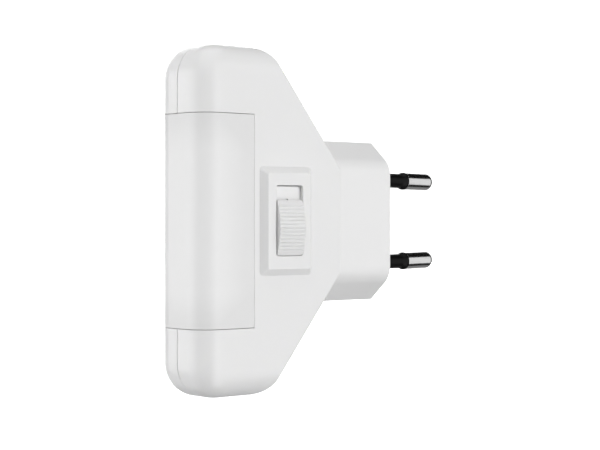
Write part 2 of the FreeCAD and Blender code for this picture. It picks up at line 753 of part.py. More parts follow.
def resistor_depth():
    """Depth place of both resistors, along the front edge of the board."""
    return BOARD_FRONT + RIB + RESISTOR_RADIUS


def resistor_leads(height):
    """Heights at which the two leads of a resistor go through the board."""
    return height - RESISTOR_SPAN / 2, height + RESISTOR_SPAN / 2


def axial_resistor(height):
    """Waisted resistor on the face of the board, its leads bent down through it."""
    low, high = resistor_leads(height)
    centre_x = BOARD_FACE + RESISTOR_RADIUS + SEAT
    centre_y = resistor_depth()
    half = RESISTOR_LENGTH / 2
    cap = RESISTOR_RADIUS * 0.8
    waist = RESISTOR_RADIUS * 0.85
    outline = [
        (0, -half), (RESISTOR_RADIUS, -half), (RESISTOR_RADIUS, -half + cap),
        (waist, -half + 1.5 * cap), (waist, half - 1.5 * cap),
        (RESISTOR_RADIUS, half - cap), (RESISTOR_RADIUS, half), (0, half),
    ]
    radii = [0, cap / 2, cap / 4, cap / 4, cap / 4, cap / 4, cap / 2, 0]
    corners = [Vec(centre_x, centre_y + r, height + z) for r, z in outline]
    body = Part.Face(rounded_wire(corners, radii))
    body = body.revolve(Vec(centre_x, centre_y, 0), Vec(0, 0, 1), 360)
    bottom = BOARD_BACK - LEAD_TAIL
    points = [Vec(bottom, centre_y, low), Vec(centre_x, centre_y, low),
              Vec(centre_x, centre_y, high), Vec(bottom, centre_y, high)]
    return body.fuse(bent_wire(points, LEAD_RADIUS, RIB / 2)).removeSplitter()


def bridge_rectifier():
    """Small moulded rectifier with four flat legs on the board's face."""
    half_y, half_z = RECTIFIER_WIDTH / 2, RECTIFIER_LENGTH / 2
    centre_y = BOARD_FRONT + RIB + half_y
    lift = TERMINAL_THICKNESS / 2
    block = box(BOARD_FACE + lift, BOARD_FACE + RECTIFIER_HEIGHT,
                centre_y - half_y, centre_y + half_y, -half_z, half_z)
    block = block.makeChamfer(lift, block.Edges)
    thick = CONTACT_SHEET
    legs = []
    for side in (-1, 1):
        for z in (-half_z / 2, half_z / 2):
            foot = sorted((side * half_z / 2, side * (half_z + RIB)))
            legs.append(box(BOARD_FACE, BOARD_FACE + lift + thick,
                            centre_y + z - thick * 2, centre_y + z + thick * 2, foot[0], foot[1]))
    return joined([block] + legs)


def driver_board():
    """Circuit board across the middle of the housing, drilled for every lead."""
    board = box(BOARD_BACK, BOARD_FACE, BOARD_FRONT, BOARD_REAR,
                -BOARD_LENGTH / 2, BOARD_LENGTH / 2)
    holes = []

    def drill(y, z, radius):
        holes.append(rod(radius, Vec(BOARD_BACK - 1, y, z), Vec(BOARD_FACE + 1, y, z)))

    lead_hole = LEAD_RADIUS + FIT
    for y in film_cap_leads():
        drill(y, lead_line(), lead_hole)
    for y in can_cap_leads():
        drill(y, -lead_line(), lead_hole)
    for height in (-RESISTOR_PLACE, RESISTOR_PLACE):
        for z in resistor_leads(height):
            drill(resistor_depth(), z, lead_hole)
    for z in terminal_places():
        drill(PANEL_Y, z, TERMINAL_WIDTH / 2 + FIT)
    return board.cut(holes)


def led_heights():
    """Height of each light emitting diode."""
    return [(k - (LED_COUNT - 1) / 2) * LED_PITCH for k in range(LED_COUNT)]


def led_board():
    """Narrow board behind the cover that carries the light emitting diodes."""
    half_x, half_z = LED_BOARD_WIDTH / 2, LED_BOARD_HEIGHT / 2
    return box(-half_x, half_x, LED_FACE, LED_BACK, -half_z, half_z)


def leds():
    """Surface mounted light emitting diodes with domed windows, as separate solids."""
    pieces = []
    for z in led_heights():
        half_x, half_z = LED_WIDTH / 2, LED_HEIGHT / 2
        package = box(-half_x, half_x, LED_FACE - LED_THICKNESS, LED_FACE, z - half_z, z + half_z)
        upright = [edge for edge in package.Edges if edge.BoundBox.YLength > LED_THICKNESS / 2]
        package = package.makeFillet(CONTACT_SHEET, upright)
        window_radius = half_x * 0.8
        well = rod(window_radius, Vec(0, LED_FACE - LED_THICKNESS - 1, z),
                   Vec(0, LED_FACE - LED_THICKNESS * 0.8, z))
        pieces.append(package.cut(well))
    return Part.makeCompound(pieces)


def led_leads():
    """Two leads from the driver board to the back of the lamp board."""
    lift = BOARD_FACE + WIRE_RADIUS + WIRE_BEND
    start_y = BOARD_FRONT + WIRE_BEND + WIRE_RADIUS
    place = BOARD_LENGTH / 2 - WIRE_BEND
    wires = []
    for z in (-place, place):
        points = [Vec(BOARD_FACE, start_y, z), Vec(lift, start_y, z), Vec(lift, LED_BACK, z)]
        wires.append(bent_wire(points, WIRE_RADIUS, WIRE_BEND))
    return Part.makeCompound(wires)


def pin_lead(height):
    """Lead from a pin's solder tail to the back of the driver board."""
    lean = math.tan(math.radians(PIN_TILT))
    tail_y = -PLUG_FACE_WALL - PIN_TAIL
    tail_z = height - math.copysign(tail_y * lean, height)
    start = Vec(0, tail_y - WIRE_RADIUS, tail_z)
    drop = BOARD_BACK - 2 * WIRE_RADIUS - WIRE_BEND
    end_y = BOARD_REAR - 1.5 * WIRE_RADIUS
    middle_y = (tail_y + PLUG_END) / 2
    points = [start, Vec(0, middle_y, tail_z), Vec(drop, PLUG_END, tail_z),
              Vec(drop, end_y, tail_z), Vec(BOARD_BACK, end_y, tail_z)]
    return bent_wire(points, WIRE_RADIUS, WIRE_BEND)


def export(name, shape):
    """Write one piece after making sure that it is sound."""
    if not shape.isValid() or shape.Volume <= 0:
        raise ValueError(name + " is not a sound solid")
    print(name, len(shape.Solids), "solids", round(shape.Volume, 1), "mm3")
    shape.exportStep(os.path.join("parts", name + ".step"))


def main():
    os.makedirs("parts", exist_ok=True)
    hollow = housing_layer(0, WALL)
    tongue_ring = housing_layer(WALL / 2 + FIT, WALL)
    inside = housing_form(WALL / 2)
    upper, lower = PIN_PITCH / 2, -PIN_PITCH / 2
    export("switch_side_shell", switch_side_shell(hollow, tongue_ring, inside))
    export("plain_side_shell", plain_side_shell(hollow, tongue_ring, inside))
    export("diffuser", diffuser())
    export("plug_body", plug_body())
    export("upper_pin", pin(upper))
    export("lower_pin", pin(lower))
    export("upper_pin_sleeve", pin_sleeve(upper))
    export("lower_pin_sleeve", pin_sleeve(lower))
    export("case_screws", case_screws())
    export("switch_knob", switch_knob())
    export("switch_can", switch_can())
    export("switch_base", switch_base())
    export("switch_terminals", switch_terminals())
    export("switch_lever", switch_lever())
    export("switch_contact", switch_contact())
    export("driver_board", driver_board())
    export("dropper_capacitor", dropper_capacitor())
    export("smoothing_capacitor", smoothing_capacitor())
    export("fusible_resistor", axial_resistor(RESISTOR_PLACE))
    export("bleed_resistor", axial_resistor(-RESISTOR_PLACE))
    export("bridge_rectifier", bridge_rectifier())
    export("led_board", led_board())
    export("leds", leds())
    export("led_leads", led_leads())
    export("upper_pin_lead", pin_lead(upper))
    export("lower_pin_lead", pin_lead(lower))


main()
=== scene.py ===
import logging
import math
from dataclasses import dataclass
from enum import Enum

import bmesh
import bpy
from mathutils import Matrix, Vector


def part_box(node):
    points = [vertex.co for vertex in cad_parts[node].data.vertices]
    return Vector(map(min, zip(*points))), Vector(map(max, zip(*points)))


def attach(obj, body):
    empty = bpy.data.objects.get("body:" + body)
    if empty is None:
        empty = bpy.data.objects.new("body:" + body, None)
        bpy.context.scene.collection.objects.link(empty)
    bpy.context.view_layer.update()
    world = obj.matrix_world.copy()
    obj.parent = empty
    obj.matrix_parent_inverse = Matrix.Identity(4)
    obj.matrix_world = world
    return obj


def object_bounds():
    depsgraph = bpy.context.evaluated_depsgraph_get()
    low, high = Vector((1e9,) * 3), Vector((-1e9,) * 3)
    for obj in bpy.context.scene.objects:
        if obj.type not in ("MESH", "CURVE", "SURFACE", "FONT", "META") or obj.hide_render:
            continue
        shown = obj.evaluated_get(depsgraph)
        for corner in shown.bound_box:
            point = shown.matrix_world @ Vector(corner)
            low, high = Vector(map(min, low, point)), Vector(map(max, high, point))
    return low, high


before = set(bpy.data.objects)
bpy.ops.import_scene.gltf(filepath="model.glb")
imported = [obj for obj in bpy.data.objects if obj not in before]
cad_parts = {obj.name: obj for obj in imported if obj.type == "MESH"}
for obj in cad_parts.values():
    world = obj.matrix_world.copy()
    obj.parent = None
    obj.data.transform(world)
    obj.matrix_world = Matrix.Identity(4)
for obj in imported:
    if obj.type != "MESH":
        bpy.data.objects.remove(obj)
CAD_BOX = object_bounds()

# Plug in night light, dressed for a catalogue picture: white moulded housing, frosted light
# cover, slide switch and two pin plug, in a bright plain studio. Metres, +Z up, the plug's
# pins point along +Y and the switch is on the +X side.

MM = 0.001
LOG = logging.getLogger("night_light")

# A colour is linear red, green and blue with alpha.
Colour = tuple[float, float, float, float]

# Ranges for masks: from 0 to 1, from 1 to 0, and where most values of a noise lie.
RISING = (0.0, 1.0)
FALLING = (1.0, 0.0)
COMMON = (0.3, 0.7)

# Cosine of the turn from a face's normal to the rounded one, where an edge starts to be worn
# and where it is fully worn.
EDGE_TURN = (0.99, 0.80)


class Grain(Enum):
    """Surface left by the mould, as grain size in millimetres and its depth in millimetres."""

    POLISHED = (0.9, 0.0006)
    SATIN = (0.22, 0.0018)
    FROSTED = (0.16, 0.0035)


class Shader:
    """Node tree of one material, built one socket at a time."""

    def __init__(self, name: str) -> None:
        """Start a material with a principled surface.

        Args:
            name: Name of the material.
        """
        self.material = bpy.data.materials.new(name)
        self.material.use_nodes = True
        self.tree = self.material.node_tree
        self.tree.nodes.clear()
        self.surface = self.node("ShaderNodeBsdfPrincipled")
        output = self.node("ShaderNodeOutputMaterial")
        self.link(self.surface.outputs["BSDF"], output.inputs["Surface"])
        self.place = self.node("ShaderNodeTexCoord").outputs["Object"]

    def node(self, kind: str) -> bpy.types.Node:
        """Add one node.

        Args:
            kind: Blender's name for the node.

        Returns:
            The new node.
        """
        return self.tree.nodes.new(kind)

    def link(self, start: bpy.types.NodeSocket, end: bpy.types.NodeSocket) -> None:
        """Join an output to an input.

        Args:
            start: Output socket.
            end: Input socket.
        """
        self.tree.links.new(start, end)

    def feed(self, socket: bpy.types.NodeSocket, value: object) -> None:
        """Give an input a fixed value or another node's output.

        Args:
            socket: Input socket.
            value: Output socket, number or tuple.
        """
        if isinstance(value, bpy.types.NodeSocket):
            self.link(value, socket)
        else:
            socket.default_value = value

    def stretched(self, scale: tuple[float, float, float]) -> bpy.types.NodeSocket:
        """Object place, scaled along each axis.

        Args:
            scale: Factor for each axis.

        Returns:
            Vector output.
        """
        mapping = self.node("ShaderNodeMapping")
        mapping.inputs["Scale"].default_value = scale
        self.link(self.place, mapping.inputs["Vector"])
        return mapping.outputs["Vector"]

    def noise(
        self,
        size: float,
        detail: float = 2.0,
        place: bpy.types.NodeSocket | None = None,
    ) -> bpy.types.NodeSocket:
        """Soft noise between 0 and 1.

        Args:
            size: Size of its features in metres.
            detail: Octaves.
            place: Vector to sample at, or None for the object's place.

        Returns:
            Value output.
        """
        made = self.node("ShaderNodeTexNoise")
        made.inputs["Scale"].default_value = 1.0 / size
        made.inputs["Detail"].default_value = detail
        self.link(place or self.place, made.inputs["Vector"])
        return made.outputs["Fac"]

    def axis(self, name: str) -> bpy.types.NodeSocket:
        """One coordinate of the object's place.

        Args:
            name: X, Y or Z.

        Returns:
            Value output, in metres.
        """
        split = self.node("ShaderNodeSeparateXYZ")
        self.link(self.place, split.inputs["Vector"])
        return split.outputs[name]

    def sum(self, kind: str, first: object, second: object = 0.0) -> bpy.types.NodeSocket:
        """One step of arithmetic.

        Args:
            kind: Blender's name for the operation.
            first: Output socket or number.
            second: Output socket or number.

        Returns:
            Value output.
        """
        made = self.node("ShaderNodeMath")
        made.operation = kind
        self.feed(made.inputs[0], first)
        self.feed(made.inputs[1], second)
        return made.outputs["Value"]

    def span(
        self, value: bpy.types.NodeSocket, source: tuple[float, float], target: tuple[float, float]
    ) -> bpy.types.NodeSocket:
        """Map one range smoothly onto another and clamp it.

        Args:
            value: Output to map.
            source: Range of the value.
            target: Range of the result.

        Returns:
            Value output.
        """
        made = self.node("ShaderNodeMapRange")
        made.interpolation_type = "SMOOTHSTEP"
        self.link(value, made.inputs["Value"])
        made.inputs["From Min"].default_value = source[0]
        made.inputs["From Max"].default_value = source[1]
        made.inputs["To Min"].default_value = target[0]
        made.inputs["To Max"].default_value = target[1]
        return made.outputs["Result"]

    def blend(
        self, share: bpy.types.NodeSocket, first: object, second: object
    ) -> bpy.types.NodeSocket:
        """Blend two colours.

        Args:
            share: How much of the second, 0 to 1.
            first: Colour tuple or output.
            second: Colour tuple or output.

        Returns:
            Colour output.
        """
        made = self.node("ShaderNodeMix")
        made.data_type = "RGBA"
        self.link(share, made.inputs["Factor"])
        self.feed(made.inputs["A"], first)
        self.feed(made.inputs["B"], second)
        return made.outputs["Result"]

    def edge_wear(self, radius: float) -> bpy.types.NodeSocket:
        """Mask of sharp edges, 1 on the edge and 0 on open faces.

        Args:
            radius: Width of the worn strip in metres.

        Returns:
            Value output.
        """
        rounded = self.soft_edges(radius)
        true_normal = self.node("ShaderNodeNewGeometry").outputs["Normal"]
        turn = self.node("ShaderNodeVectorMath")
        turn.operation = "DOT_PRODUCT"
        self.link(rounded, turn.inputs[0])
        self.link(true_normal, turn.inputs[1])
        return self.span(turn.outputs["Value"], EDGE_TURN, RISING)

    def bump(
        self,
        height: bpy.types.NodeSocket,
        depth: float,
        under: bpy.types.NodeSocket | None = None,
    ) -> bpy.types.NodeSocket:
        """Turn a height between 0 and 1 into relief.

        Args:
            height: Height output.
            depth: Full depth in metres.
            under: Normal to work from, or None.

        Returns:
            Normal output.
        """
        made = self.node("ShaderNodeBump")
        made.inputs["Strength"].default_value = 1.0
        made.inputs["Distance"].default_value = depth
        self.link(height, made.inputs["Height"])
        if under is not None:
            self.link(under, made.inputs["Normal"])
        return made.outputs["Normal"]

    def soft_edges(self, radius: float) -> bpy.types.NodeSocket:
        """Normal that rounds sharp edges a little.

        Args:
            radius: Radius of the rounding in metres.

        Returns:
            Normal output.
        """
        rounded = self.node("ShaderNodeBevel")
        rounded.samples = 4
        rounded.inputs["Radius"].default_value = radius
        return rounded.outputs["Normal"]

    def set(self, socket: str, value: object) -> None:
        """Set one of the surface's sockets.

        Args:
            socket: Name of the socket.
            value: Output socket, number or tuple.
        """
        self.feed(self.surface.inputs[socket], value)


def grey(level: float, warmth: float = 0.0) -> Colour:
    """Neutral colour of one level.

    Args:
        level: Linear lightness.
        warmth: Share taken from blue and half of it from green.

    Returns:
        Colour with full alpha.
    """
    return (level, level * (1.0 - warmth / 2), level * (1.0 - warmth), 1.0)


def shade(colour: Colour, factor: float) -> Colour:
    """Lighten or darken a colour.

    Args:
        colour: Colour to change.
        factor: Factor for its red, green and blue.

    Returns:
        Colour with full alpha and no channel above 1.
    """
    red, green, blue = (min(1.0, channel * factor) for channel in colour[:3])
    return (red, green, blue, 1.0)


@dataclass(frozen=True)
class Finish:
    """Finish of one kind of surface, made as a procedural material."""

    name: str

    def make(self) -> bpy.types.Material:
        """Build the material.

        Returns:
            The finished material.
        """
        shader = Shader(self.name)
        self.paint(shader)
        return shader.material

    def paint(self, shader: Shader) -> None:
        """Set the surface's colour, gloss and relief, which each finish does its own way."""
        raise NotImplementedError


@dataclass(frozen=True)
class MouldedPlastic(Finish):
    """Injection moulded plastic with a fine mould grain and slightly burnished edges."""

    colour: Colour = grey(0.8)
    roughness: float = 0.3
    grain: Grain = Grain.SATIN
    mottle: float = 0.005
    flow_size: float = 14 * MM
    haze: float = 0.02
    haze_size: float = 3.5 * MM
    wear: float = 0.04
    burnish: float = 0.06
    worn_strip: float = 0.25 * MM
    worn_patch: float = 2.2 * MM
    patch_range: tuple[float, float] = (0.4, 0.7)
    edge: float = 0.16 * MM
    scatter: float = 0.0
    scatter_depth: float = 0.35 * MM

    def paint(self, shader: Shader) -> None:
        """Set colour, gloss and grain.

        Args:
            shader: Material being built.
        """
        body = self.tone(shader)
        rubbed = self.rubbed(shader)
        bright = tuple(channel + self.wear * (1 - channel) for channel in self.colour[:3]) + (1.0,)
        shader.set("Base Color", shader.blend(rubbed, body, bright))
        haze = shader.span(shader.noise(self.haze_size, 4.0), COMMON, (-self.haze, self.haze))
        rough = shader.sum("ADD", self.roughness, haze)
        smoothed = shader.sum("MULTIPLY", rubbed, self.burnish)
        shader.set("Roughness", shader.sum("SUBTRACT", rough, smoothed))
        size, relief = self.grain.value
        grain = shader.noise(size * MM, 3.0)
        shader.set("Normal", shader.bump(grain, relief * MM, shader.soft_edges(self.edge)))
        if self.scatter > 0:
            shader.set("Subsurface Weight", self.scatter)
            shader.set("Subsurface Radius", (1.0, 1.0, 0.95))
            shader.set("Subsurface Scale", self.scatter_depth)

    def patches(self, shader: Shader) -> bpy.types.NodeSocket:
        """Mask of the uneven patches that wear leaves, as a value between 0 and 1."""
        return shader.span(shader.noise(self.worn_patch), self.patch_range, RISING)

    def rubbed(self, shader: Shader) -> bpy.types.NodeSocket:
        """Mask of the places burnished by handling, along the edges, between 0 and 1."""
        return shader.sum("MULTIPLY", shader.edge_wear(self.worn_strip), self.patches(shader))

    def tone(self, shader: Shader) -> bpy.types.NodeSocket:
        """Colour of the plastic with the faint flow marks of the mould.

        Args:
            shader: Material being built.

        Returns:
            Colour output.
        """
        low = shade(self.colour, 1 - self.mottle)
        high = shade(self.colour, 1 + self.mottle)
        return shader.blend(shader.noise(self.flow_size, 3.0), low, high)


@dataclass(frozen=True)
class GripPlastic(MouldedPlastic):
    """Plastic of the knob: its part down in the slot painted lighter to offset the recess's shade,
    and a greyer grip, burnished on top.

    Depths below and heights above are counted from the slot's mouth, outward along +X.
    """

    worn_patch: float = 1.4 * MM
    # Lighter tone painted on the knob down in the slot, as painted light.
    painted_lit_skirt: Colour = grey(0.84)
    mouth: float = 10.0 * MM
    skirt_depths: tuple[float, float] = (0.75 * MM, 0.25 * MM)
    crown_heights: tuple[float, float] = (0.5 * MM, 1.2 * MM)

    def rubbed(self, shader: Shader) -> bpy.types.NodeSocket:
        """Mask of the places burnished by fingers: the top of the crown.

        Args:
            shader: Material being built.

        Returns:
            Value output between 0 and 1.
        """
        low, high = self.crown_heights
        crown = shader.span(shader.axis("X"), (self.mouth + low, self.mouth + high), RISING)
        return shader.sum("MULTIPLY", crown, self.patches(shader))

    def tone(self, shader: Shader) -> bpy.types.NodeSocket:
        """Colour of the grip, blended below the slot's mouth into a lighter tone that is painted
        light against the shade in the slot.

        Args:
            shader: Material being built.

        Returns:
            Colour output.
        """
        grip = super().tone(shader)
        deep, shallow = self.skirt_depths
        # Painted light: below the slot's mouth the knob turns lighter than the grip.
        sunk = shader.span(shader.axis("X"), (self.mouth - deep, self.mouth - shallow), FALLING)
        return shader.blend(sunk, grip, self.painted_lit_skirt)


@dataclass(frozen=True)
class FrostedCover(Finish):
    """Frosted translucent plastic, with painted shade towards its rear edge and ends, where its
    rim and the housing stand behind it.
    """

    open_tone: Colour
    # Darker tone painted in as shade, not the plastic's own colour.
    painted_shade_tone: Colour
    rear: float
    half_height: float
    # Widths of the painted shade at the rear edge and at the top and bottom ends.
    fade: float = 9.5 * MM
    end_fade: float = 8.5 * MM
    cloud: float = 0.06
    cloud_size: float = 9 * MM
    roughness: float = 0.36
    haze: float = 0.03
    haze_size: float = 2.5 * MM
    edge: float = 0.1 * MM
    scatter: float = 0.25
    scatter_depth: float = 0.5 * MM

    def paint(self, shader: Shader) -> None:
        """Set colour, gloss and frost.

        Args:
            shader: Material being built.
        """
        # Painted shade: the colour darkens towards the rear edge and towards the top and bottom
        # ends.
        from_rear = shader.sum("SUBTRACT", self.rear, shader.axis("Y"))
        back = shader.span(from_rear, (0.0, self.fade), FALLING)
        height = shader.sum("ABSOLUTE", shader.axis("Z"))
        ends = shader.span(height, (self.half_height - self.end_fade, self.half_height), RISING)
        rim = shader.sum("ADD", back, ends)
        cloud = shader.span(shader.noise(self.cloud_size, 3.0), COMMON, (-self.cloud, self.cloud))
        share = shader.sum("ADD", rim, cloud)
        shader.set("Base Color", shader.blend(share, self.open_tone, self.painted_shade_tone))
        haze = shader.span(shader.noise(self.haze_size, 3.0), COMMON, (-self.haze, self.haze))
        shader.set("Roughness", shader.sum("ADD", self.roughness, haze))
        size, relief = Grain.FROSTED.value
        frost = shader.noise(size * MM, 4.0)
        shader.set("Normal", shader.bump(frost, relief * MM, shader.soft_edges(self.edge)))
        shader.set("Subsurface Weight", self.scatter)
        shader.set("Subsurface Radius", (1.0, 1.0, 1.0))
        shader.set("Subsurface Scale", self.scatter_depth)


@dataclass(frozen=True)
class TurnedMetal(Finish):
    """Plated metal with faint turning marks round its axis and scuffs along it.

    along and scuff give how fast the marks and the scuffs change along X, Y and Z.
    """

    colour: Colour = grey(0.78)
    roughness: float = 0.16
    along: tuple[float, float, float] = (0.12, 6.0, 0.12)
    scuff: tuple[float, float, float] = (7.0, 0.25, 7.0)
    mark_size: float = 0.6 * MM
    mark_depth: float = 0.0012 * MM
    scuff_size: float = 1.2 * MM
    scuff_range: tuple[float, float] = (0.55, 0.75)
    scuff_shade: float = 0.86
    scuff_roughness: float = 0.1
    edge: float = 0.08 * MM

    def paint(self, shader: Shader) -> None:
        """Set colour, gloss and marks.

        Args:
            shader: Material being built.
        """
        rings = shader.noise(self.mark_size, 2.0, shader.stretched(self.along))
        scuffs = shader.noise(self.scuff_size, 4.0, shader.stretched(self.scuff))
        rubbed = shader.span(scuffs, self.scuff_range, RISING)
        dull = shade(self.colour, self.scuff_shade)
        shader.set("Base Color", shader.blend(rubbed, self.colour, dull))
        shader.set("Metallic", 1.0)
        duller = shader.sum("MULTIPLY", rubbed, self.scuff_roughness)
        shader.set("Roughness", shader.sum("ADD", self.roughness, duller))
        marks = shader.bump(rings, self.mark_depth, shader.soft_edges(self.edge))
        shader.set("Normal", shader.bump(scuffs, self.mark_depth / 3, marks))


@dataclass(frozen=True)
class InsulatingSleeve(Finish):
    """Smooth black insulation with a light sheen and scuffs from sockets."""

    colour: Colour = grey(0.003)
    roughness: float = 0.4
    gloss: float = 0.1
    scuff: tuple[float, float, float] = (5.0, 0.4, 5.0)
    scuff_size: float = 0.9 * MM
    scuff_range: tuple[float, float] = (0.56, 0.78)
    scuff_shade: float = 3.0
    scuff_roughness: float = 0.2
    grain_size: float = 0.2 * MM
    grain_depth: float = 0.001 * MM
    edge: float = 0.06 * MM

    def paint(self, shader: Shader) -> None:
        """Set colour, gloss and grain.

        Args:
            shader: Material being built.
        """
        scuffs = shader.noise(self.scuff_size, 4.0, shader.stretched(self.scuff))
        rubbed = shader.span(scuffs, self.scuff_range, RISING)
        pale = shade(self.colour, self.scuff_shade)
        shader.set("Base Color", shader.blend(rubbed, self.colour, pale))
        duller = shader.sum("MULTIPLY", rubbed, self.scuff_roughness)
        shader.set("Roughness", shader.sum("ADD", self.roughness, duller))
        grain = shader.noise(self.grain_size, 3.0)
        shader.set("Normal", shader.bump(grain, self.grain_depth, shader.soft_edges(self.edge)))
        shader.set("Specular IOR Level", self.gloss)


@dataclass(frozen=True)
class CircuitLacquer(Finish):
    """Lacquered board with buried copper that shows as slightly raised fields of another tone."""

    colour: Colour
    track: Colour
    pitch: float = 3.1 * MM
    unevenness: float = 0.7
    border: tuple[float, float] = (0.72, 0.80)
    raised: float = 0.03 * MM
    weave_size: float = 0.5 * MM
    weave_shade: float = 0.85
    roughness: tuple[float, float] = (0.24, 0.34)

    def paint(self, shader: Shader) -> None:
        """Set colour, gloss and the raised tracks.

        Args:
            shader: Material being built.
        """
        cells = shader.node("ShaderNodeTexVoronoi")
        cells.distance = "MANHATTAN"
        cells.feature = "F2"
        cells.inputs["Scale"].default_value = 1.0 / self.pitch
        cells.inputs["Randomness"].default_value = self.unevenness
        shader.link(shader.place, cells.inputs["Vector"])
        tracks = shader.span(cells.outputs["Distance"], self.border, RISING)
        weave = shader.noise(self.weave_size, 2.0)
        base = shader.blend(weave, self.colour, shade(self.colour, self.weave_shade))
        shader.set("Base Color", shader.blend(tracks, base, self.track))
        shader.set("Roughness", shader.span(weave, COMMON, self.roughness))
        shader.set("Normal", shader.bump(tracks, self.raised))


@dataclass(frozen=True)
class BandedLacquer(Finish):
    """Lacquered component body with rings painted round it along its height.

    Each band is its place above the middle and its paint; past body_half the leads are bare.
    """

    colour: Colour
    middle: float
    bands: tuple[tuple[float, Colour], ...]
    width: float = 0.55 * MM
    blur: float = 0.05 * MM
    lead: Colour = grey(0.62)
    body_half: float = 3.2 * MM
    speckle_size: float = 0.4 * MM
    speckle_shade: float = 0.9
    speckle_depth: float = 0.006 * MM
    roughness: tuple[float, float] = (0.26, 0.38)

    def paint(self, shader: Shader) -> None:
        """Set the lacquer with its bands and the bare leads.

        Args:
            shader: Material being built.
        """
        height = shader.sum("SUBTRACT", shader.axis("Z"), self.middle)
        speckle = shader.noise(self.speckle_size, 3.0)
        tone = shader.blend(speckle, self.colour, shade(self.colour, self.speckle_shade))
        half = self.width / 2
        for place, paint in self.bands:
            away = shader.sum("ABSOLUTE", shader.sum("SUBTRACT", height, place))
            share = shader.span(away, (half, half + self.blur), FALLING)
            tone = shader.blend(share, tone, paint)
        reach = shader.sum("ABSOLUTE", height)
        bare = shader.span(reach, (self.body_half, self.body_half + self.blur), RISING)
        shader.set("Base Color", shader.blend(bare, tone, self.lead))
        shader.set("Metallic", bare)
        shader.set("Roughness", shader.span(speckle, COMMON, self.roughness))
        shader.set("Normal", shader.bump(speckle, self.speckle_depth))


@dataclass(frozen=True)
class GlowingWhite(Finish):
    """Overexposed white of a studio floor or wall."""

    level: float = 1.3
    mottle_size: float = 0.4
    tones: tuple[Colour, Colour] = (grey(0.86), grey(0.9))
    roughness: tuple[float, float] = (0.7, 0.8)

    def paint(self, shader: Shader) -> None:
        """Set the white and its glow.

        Args:
            shader: Material being built.
        """
        mottle = shader.noise(self.mottle_size, 2.0)
        shader.set("Base Color", shader.blend(mottle, *self.tones))
        shader.set("Roughness", shader.span(mottle, COMMON, self.roughness))
        shader.set("Emission Color", grey(1.0))
        shader.set("Emission Strength", self.level)


def mesh_piece(
    name: str, shape: bmesh.types.BMesh, material: bpy.types.Material
) -> bpy.types.Object:
    """Turn a finished mesh into an object of the scene.

    Args:
        name: Name of the piece.
        shape: Its mesh, which is used up.
        material: Its finish.

    Returns:
        The new object.
    """
    mesh = bpy.data.meshes.new(name)
    shape.to_mesh(mesh)
    shape.free()
    mesh.materials.append(material)
    piece = bpy.data.objects.new(name, mesh)
    bpy.context.scene.collection.objects.link(piece)
    return piece


def corners(node: str) -> list[Vector]:
    """Places of a node's mesh corners.

    Args:
        node: Name of the node.

    Returns:
        One place for each corner, in the frame's metres.
    """
    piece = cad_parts[node]
    return [piece.matrix_world @ corner.co for corner in piece.data.vertices]


def gather(places: list[Vector], apart: float) -> list[tuple[Vector, Vector]]:
    """Sort places into groups that stand apart from each other.

    Args:
        places: Places to sort.
        apart: Greatest distance between a group's first place and its others.

    Returns:
        Low and high corner of each group's box.
    """
    groups: list[list[Vector]] = []
    for place in places:
        near = next((group for group in groups if (group[0] - place).length < apart), None)
        if near is None:
            groups.append([place])
        else:
            near.append(place)
    return [(Vector(map(min, zip(*group))), Vector(map(max, zip(*group)))) for group in groups]


def add_turned(
    shape: bmesh.types.BMesh,
    seat: Vector,
    axis: Vector,
    half: tuple[float, float],
    profile: list[tuple[float, float]],
    steps: int = 32,
) -> None:
    """Add one closed turned form to a mesh, which may be wider one way than the other.

    Args:
        shape: Mesh that it goes into.
        seat: Middle of its base.
        axis: Direction in which it rises, level with the floor.
        half: Half width across the axis and half height, where the profile's spread is zero.
        profile: Spread beyond the half sizes and distance along the axis, ring by ring.
        steps: Corners of each ring.
    """
    up = Vector((0.0, 0.0, 1.0))
    across = axis.cross(up)
    rings = []
    for spread, along in profile:
        ring = []
        for step in range(steps):
            turn = 2 * math.pi * step / steps
            sideways = across * ((half[0] + spread) * math.cos(turn))
            upright = up * ((half[1] + spread) * math.sin(turn))
            ring.append(shape.verts.new(seat + axis * along + sideways + upright))
        rings.append(ring)
    for low, high in zip(rings, rings[1:]):
        for step in range(steps):
            after = (step + 1) % steps
            shape.faces.new((low[step], low[after], high[after], high[step])).smooth = True
    shape.faces.new(rings[0])
    shape.faces.new(rings[-1])
    bmesh.ops.recalc_face_normals(shape, faces=shape.faces)


class Assembly:
    """Sub-assembly of the light, with the finishes of its nodes and any pieces it adds."""

    def build(self) -> list[bpy.types.Object]:
        """Make the pieces that the frame lacks, which most sub-assemblies don't need."""
        return []

    def finishes(self) -> dict[str, Finish]:
        """Finish of each of its nodes."""
        raise NotImplementedError

    def dress(self) -> list[bpy.types.Object]:
        """Give its nodes their finishes, with one material for nodes that share a finish.

        Returns:
            The dressed nodes.
        """
        made: dict[Finish, bpy.types.Material] = {}
        pieces = []
        for node, finish in self.finishes().items():
            if finish not in made:
                made[finish] = finish.make()
            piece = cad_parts[node]
            piece.data.materials.clear()
            piece.data.materials.append(made[finish])
            pieces.append(piece)
        return pieces


@dataclass
class Housing(Assembly):
    """The two moulded halves, with the raised switch panel on one, and their screws."""

    tone: Colour = grey(0.8)
    halves: tuple[str, str] = ("switch_side_shell", "plain_side_shell")
    screws: str = "case_screws"

    def finishes(self) -> dict[str, Finish]:
        """Finish of each of its nodes.

        Returns:
            Plastic for the halves and steel for the screws.
        """
        plastic = MouldedPlastic("housing_plastic", self.tone, scatter=0.9)
        steel = TurnedMetal("screw_steel", grey(0.6), 0.3, along=(4.0, 0.3, 0.3))
        return {half: plastic for half in self.halves} | {self.screws: steel}


